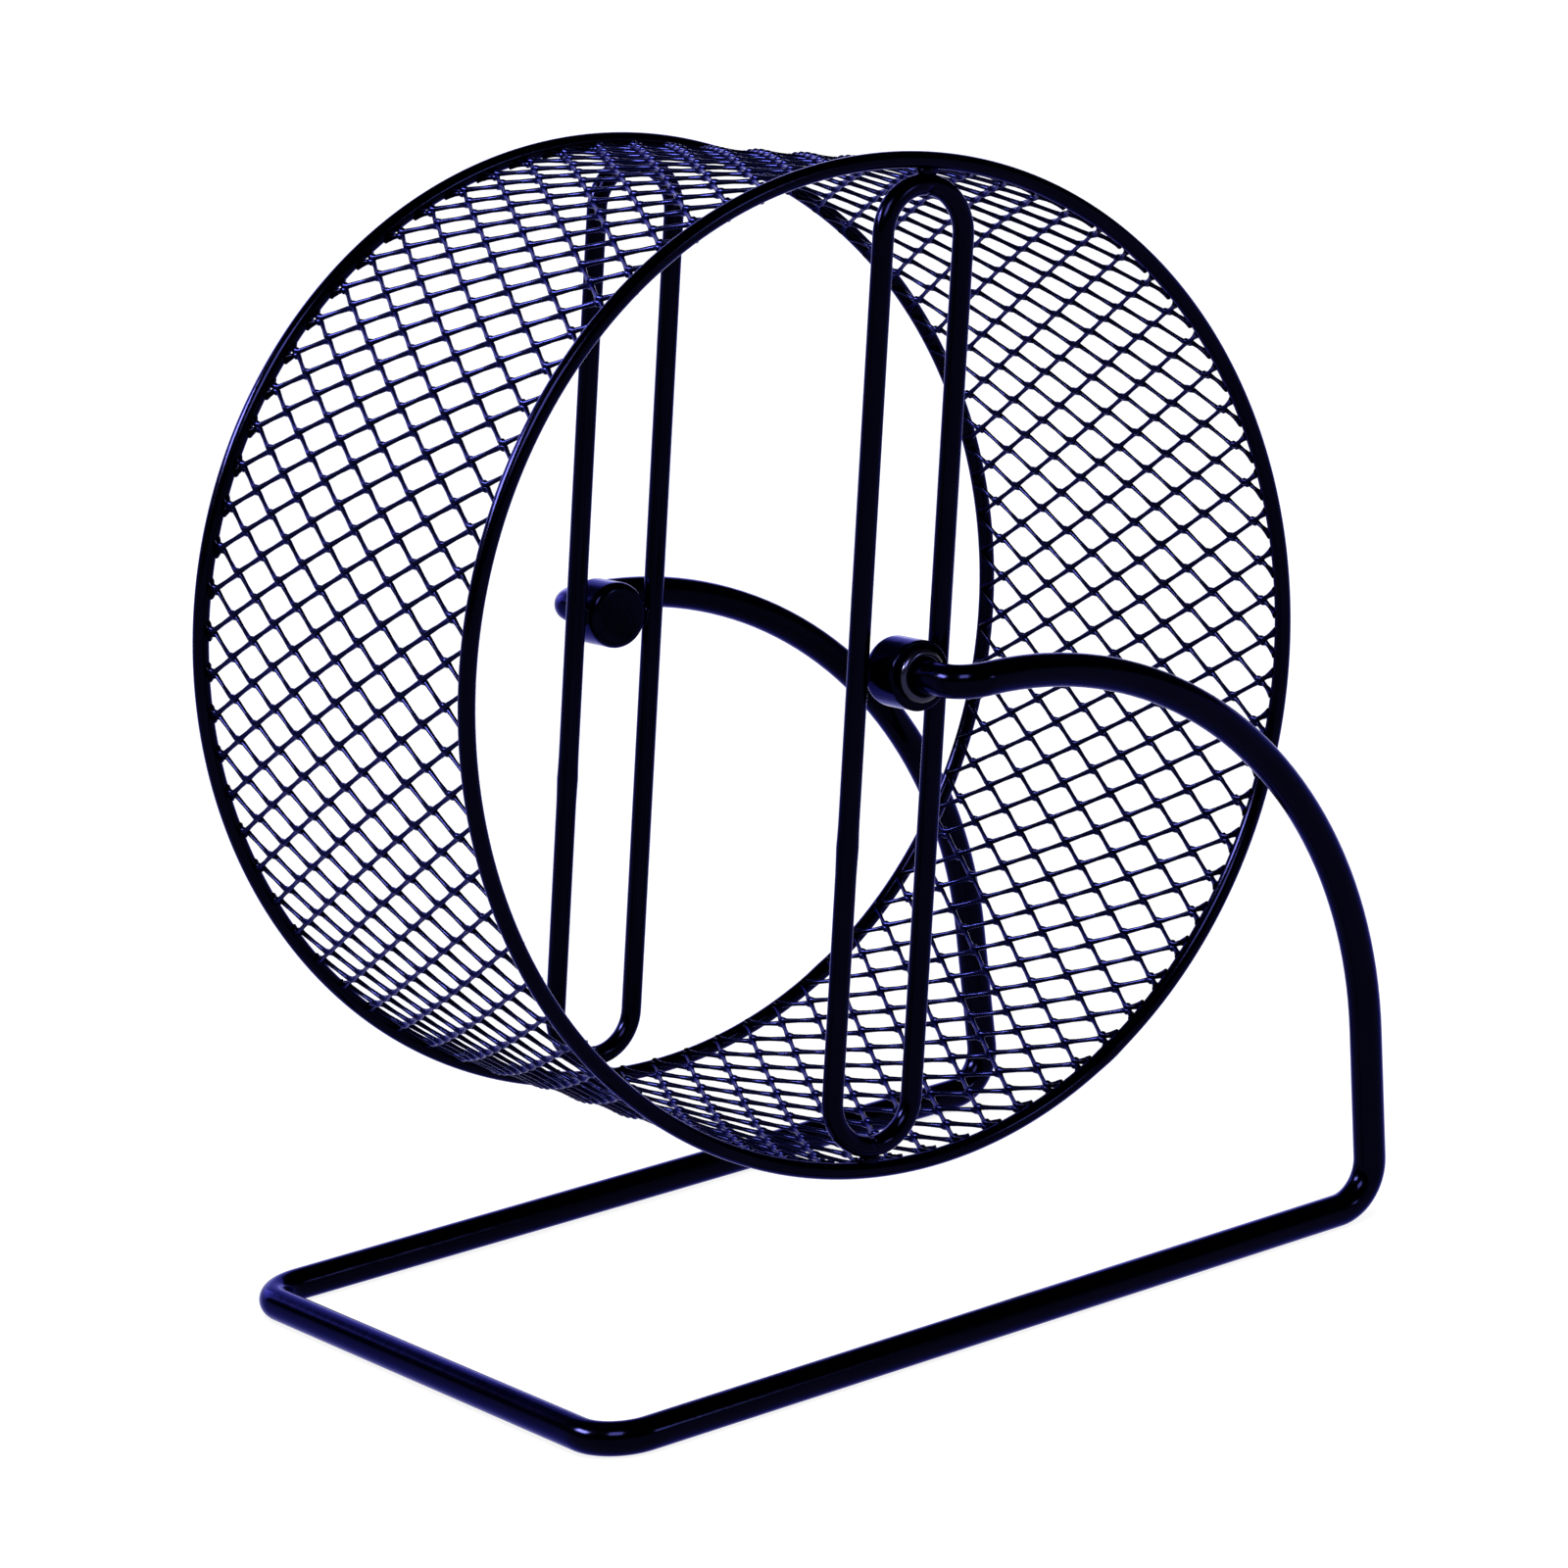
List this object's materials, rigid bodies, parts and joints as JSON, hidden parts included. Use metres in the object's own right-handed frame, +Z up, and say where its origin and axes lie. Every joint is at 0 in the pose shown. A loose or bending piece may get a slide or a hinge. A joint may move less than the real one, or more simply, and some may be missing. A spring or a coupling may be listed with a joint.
{
  "type": "rodent exercise wheel",
  "caption": "Free-standing rodent exercise wheel: a drum of expanded metal mesh between wire rims turns on the bent-in ends of a one-piece bent rod stand.",
  "frame": {"origin": "on the floor, under the middle of the object's box", "axes": "+Z up, +Y along the axle from the front rim to the rear rim, +X from the crossbar to the uprights"},
  "size_m": [0.182, 0.1318, 0.209],
  "materials": {
    "stand_enamel": "gloss black coat on bent steel rod",
    "wire_enamel": "gloss black coat on steel wire",
    "mesh_enamel": "gloss black coat on expanded steel sheet",
    "hub_enamel": "gloss black coat on turned steel",
    "weld_enamel": "gloss black coat over weld metal",
    "bush_nylon": "moulded black nylon"
  },
  "bodies": {
    "stand": {"stand_rod": "stand_enamel"},
    "wheel": {"mesh_track": "mesh_enamel", "rim_front": "wire_enamel", "rim_rear": "wire_enamel", "loop_front": "wire_enamel", "loop_rear": "wire_enamel", "hub_cup_front": "hub_enamel", "hub_cup_rear": "hub_enamel", "bush_front": "bush_nylon", "bush_rear": "bush_nylon", "rim_welds_front": "weld_enamel", "rim_welds_rear": "weld_enamel", "hub_welds_front": "weld_enamel", "hub_welds_rear": "weld_enamel"}
  },
  "joints": [
    {"name": "wheel_spin", "type": "hinge", "parent": "stand", "child": "wheel", "pos_m": [-0.001, 0, 0.119], "axis": [0, 1, 0], "continuous": true}
  ]
}
